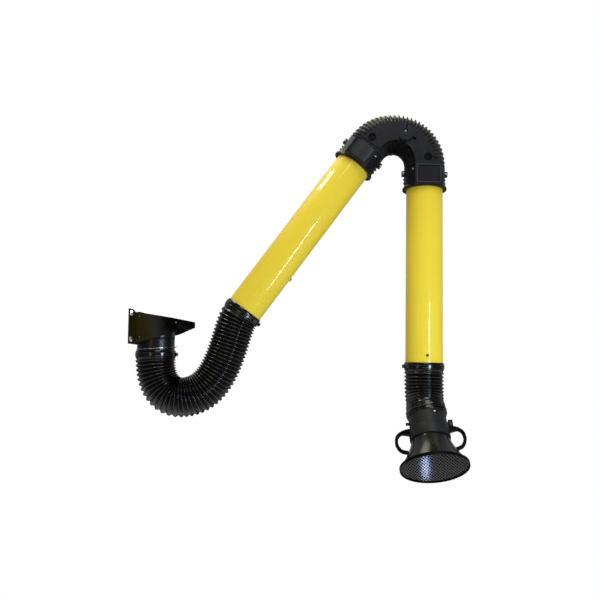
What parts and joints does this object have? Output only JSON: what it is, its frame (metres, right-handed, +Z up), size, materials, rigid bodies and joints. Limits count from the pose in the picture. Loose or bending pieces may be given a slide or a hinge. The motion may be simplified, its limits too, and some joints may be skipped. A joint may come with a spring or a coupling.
{
  "type": "fume extraction arm",
  "caption": "Wall-mounted fume extraction arm: yellow tubes, ribbed black hoses, a friction elbow and a trumpet hood with a mesh, handles and a damper.",
  "frame": {"origin": "centre of the wall plate's back face", "axes": "+X out of the wall, +Z up, the arm's own plane is Y = 0 at rest"},
  "size_m": [0.8746, 0.2613, 1.0063],
  "materials": {
    "black_paint": "satin black",
    "zinc": "bright zinc plate",
    "steel": "plain",
    "yellow_paint": "gloss yellow",
    "hose": "semi-gloss, ribbed",
    "clamp_black": "semi-gloss black",
    "dark_plastic": "fine matte",
    "gloss_black": "gloss",
    "fibre": "matt friction lining"
  },
  "bodies": {
    "wall_bracket": {"bracket_frame": "black_paint", "cheek_bolt_1": "steel", "cheek_bolt_2": "steel", "cheek_bolt_3": "steel", "cheek_bolt_4": "steel", "duct_spigot": "black_paint", "swivel_housing": "black_paint", "wall_bolt_1": "zinc", "wall_bolt_2": "zinc", "wall_bolt_3": "zinc", "wall_bolt_4": "zinc", "wall_plate": "black_paint"},
    "swivel": {"base_hose": "hose", "base_hose_clamp_top": "clamp_black", "bearing_washer": "fibre", "collar_wire_clip": "zinc", "drop_arm": "steel", "retaining_ring": "steel", "swivel_collar": "gloss_black"},
    "inner_arm": {"base_hose_clamp_bottom": "clamp_black", "elbow_clip_screw_inner_1": "zinc", "elbow_clip_screw_inner_2": "zinc", "elbow_hose": "hose", "elbow_plug_inner_front": "dark_plastic", "elbow_plug_inner_rear": "dark_plastic", "elbow_shell_inner_front": "dark_plastic", "elbow_shell_inner_rear": "dark_plastic", "inner_tube": "yellow_paint", "inner_tube_screw": "zinc", "tilt_arm": "steel", "tilt_disc_front": "fibre", "tilt_disc_rear": "fibre", "tilt_nut": "zinc", "tilt_pin": "zinc"},
    "outer_arm": {"elbow_clip_screw_outer_1": "zinc", "elbow_clip_screw_outer_2": "zinc", "elbow_pivot_bolt_front": "zinc", "elbow_pivot_bolt_rear": "zinc", "elbow_plug_outer_front": "dark_plastic", "elbow_plug_outer_rear": "dark_plastic", "elbow_shell_outer_front": "dark_plastic", "elbow_shell_outer_rear": "dark_plastic", "elbow_washer_front": "fibre", "elbow_washer_rear": "fibre", "hood_hose": "hose", "hood_hose_clamp_top": "clamp_black", "hood_yoke_upper": "steel", "outer_tube": "yellow_paint", "outer_tube_screw_front": "zinc", "outer_tube_screw_rear": "zinc"},
    "hood_gimbal": {"gimbal_cross": "zinc"},
    "hood": {"handle_ring": "gloss_black", "hood_bell": "gloss_black", "hood_hose_clamp_bottom": "zinc", "hood_mesh": "black_paint", "hood_rim": "black_paint", "hood_yoke_lower": "steel"},
    "damper": {"damper_knob": "dark_plastic", "damper_plate": "steel", "damper_shaft": "zinc"}
  },
  "joints": [
    {"name": "swivel", "type": "hinge", "parent": "wall_bracket", "child": "swivel", "pos_m": [0.057, 0, 0], "axis": [0, 0, 1], "range_deg": [-85, 85]},
    {"name": "tilt", "type": "hinge", "parent": "swivel", "child": "inner_arm", "pos_m": [0.127, 0, -0.188], "axis": [0, 1, 0], "range_deg": [-10, 60], "deforming": ["base_hose"]},
    {"name": "elbow", "type": "hinge", "parent": "inner_arm", "child": "outer_arm", "pos_m": [0.73428, 0, 0.52928], "axis": [0, 1, 0], "range_deg": [-115, 15], "deforming": ["elbow_hose"]},
    {"name": "hood_roll", "type": "hinge", "parent": "outer_arm", "child": "hood_gimbal", "pos_m": [0.78288, 0, -0.18808], "axis": [0, 1, 0], "range_deg": [-35, 35], "deforming": ["hood_hose"]},
    {"name": "hood_pitch", "type": "hinge", "parent": "hood_gimbal", "child": "hood", "pos_m": [0.78288, 0, -0.18808], "axis": [0.9998, 0, 0.0175], "range_deg": [-6, 70], "deforming": ["hood_hose"]},
    {"name": "damper", "type": "hinge", "parent": "hood", "child": "damper", "pos_m": [0.78406, -0.04334, -0.25532], "axis": [-0.9998, 0, -0.0175], "range_deg": [0, 90]}
  ]
}
